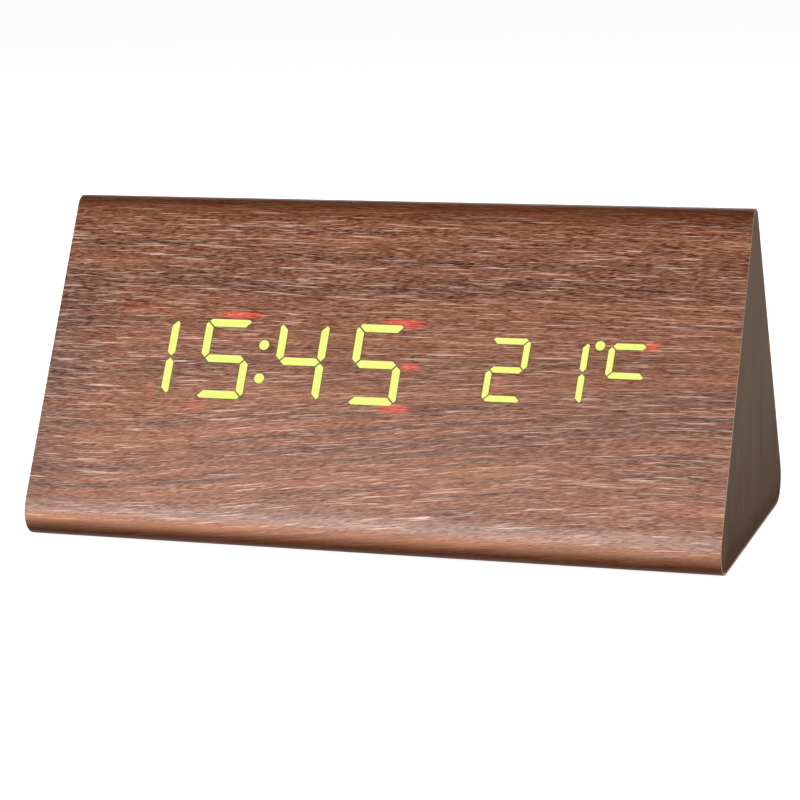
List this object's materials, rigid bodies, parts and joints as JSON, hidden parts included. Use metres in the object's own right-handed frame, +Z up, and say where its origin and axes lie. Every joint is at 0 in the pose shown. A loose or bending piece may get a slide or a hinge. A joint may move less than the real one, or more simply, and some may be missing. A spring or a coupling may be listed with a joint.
{
  "type": "wedge-shaped digital alarm clock",
  "caption": "Wood-look wedge alarm clock: figures shine through the front film, push buttons and power socket at the back, hinged battery door in the base.",
  "frame": {"origin": "on the table under the middle of the case", "axes": "+X along the clock, to the right of a reader in front of it; the lit face looks towards -Y; +Z up"},
  "size_m": [0.15, 0.0732, 0.0695],
  "materials": {
    "walnut_film": "satin walnut-look film, grain along the length",
    "end_sheet": "matt taupe sheet",
    "fibreboard": "raw fibreboard",
    "frosted_sheet": "frosted",
    "white_plastic": "moulded",
    "light_guide": "clear cast resin, lit green-yellow",
    "circuit_board": "green solder mask",
    "steel": "nickel plated",
    "black_plastic": "fine spark-eroded texture",
    "cell_jacket": "plain blue jacket, stands for a cell's mean density",
    "red_sleeve": "satin sleeve",
    "black_sleeve": "satin sleeve",
    "grey_sleeve": "satin sleeve"
  },
  "bodies": {
    "case": {"veneer_wrap": "walnut_film", "left_end_veneer": "end_sheet", "right_end_veneer": "end_sheet", "front_board": "fibreboard", "rear_board": "fibreboard", "base_board": "fibreboard", "left_end_board": "fibreboard", "right_end_board": "fibreboard", "display_diffuser": "frosted_sheet", "display_reflector": "white_plastic", "control_spacer_left": "white_plastic", "control_spacer_right": "white_plastic", "hours_tens_guide": "light_guide", "hours_units_guide": "light_guide", "minutes_tens_guide": "light_guide", "minutes_units_guide": "light_guide", "colon_guide": "light_guide", "temperature_tens_guide": "light_guide", "temperature_units_guide": "light_guide", "celsius_guide": "light_guide", "display_pcb": "circuit_board", "control_pcb": "circuit_board", "display_screw_1": "steel", "display_screw_2": "steel", "display_screw_3": "steel", "display_screw_4": "steel", "control_screw_left": "steel", "control_screw_right": "steel", "backup_cell": "steel", "backup_cell_clip": "steel", "microphone": "steel", "positive_contact": "steel", "link_contact_1": "steel", "link_contact_2": "steel", "link_contact_3": "steel", "negative_contact": "steel", "controller_chip": "black_plastic", "buzzer": "black_plastic", "thermistor": "black_plastic", "set_switch": "black_plastic", "up_switch": "black_plastic", "down_switch": "black_plastic", "dc_jack": "black_plastic", "battery_box": "black_plastic", "battery_1": "cell_jacket", "battery_2": "cell_jacket", "battery_3": "cell_jacket", "battery_4": "cell_jacket", "battery_lead_red": "red_sleeve", "battery_lead_black": "black_sleeve", "ribbon_cable": "grey_sleeve"},
    "set_key": {"set_button": "black_plastic", "set_plunger": "white_plastic"},
    "up_key": {"up_button": "black_plastic", "up_plunger": "white_plastic"},
    "down_key": {"down_button": "black_plastic", "down_plunger": "white_plastic"},
    "door": {"battery_door": "black_plastic"}
  },
  "joints": [
    {"name": "set_press", "type": "slide", "parent": "case", "child": "set_key", "axis": [0, -0.8744, -0.4851], "range_m": [0, 0.0005], "stiffness_N_per_m": 400, "springref_m": -0.0005},
    {"name": "up_press", "type": "slide", "parent": "case", "child": "up_key", "axis": [0, -0.8744, -0.4851], "range_m": [0, 0.0005], "stiffness_N_per_m": 400, "springref_m": -0.0005},
    {"name": "down_press", "type": "slide", "parent": "case", "child": "down_key", "axis": [0, -0.8744, -0.4851], "range_m": [0, 0.0005], "stiffness_N_per_m": 400, "springref_m": -0.0005},
    {"name": "door_hinge", "type": "hinge", "parent": "case", "child": "door", "pos_m": [-0.02465, 0, 0.0012], "axis": [0, 1, 0], "range_deg": [0, 90]}
  ]
}
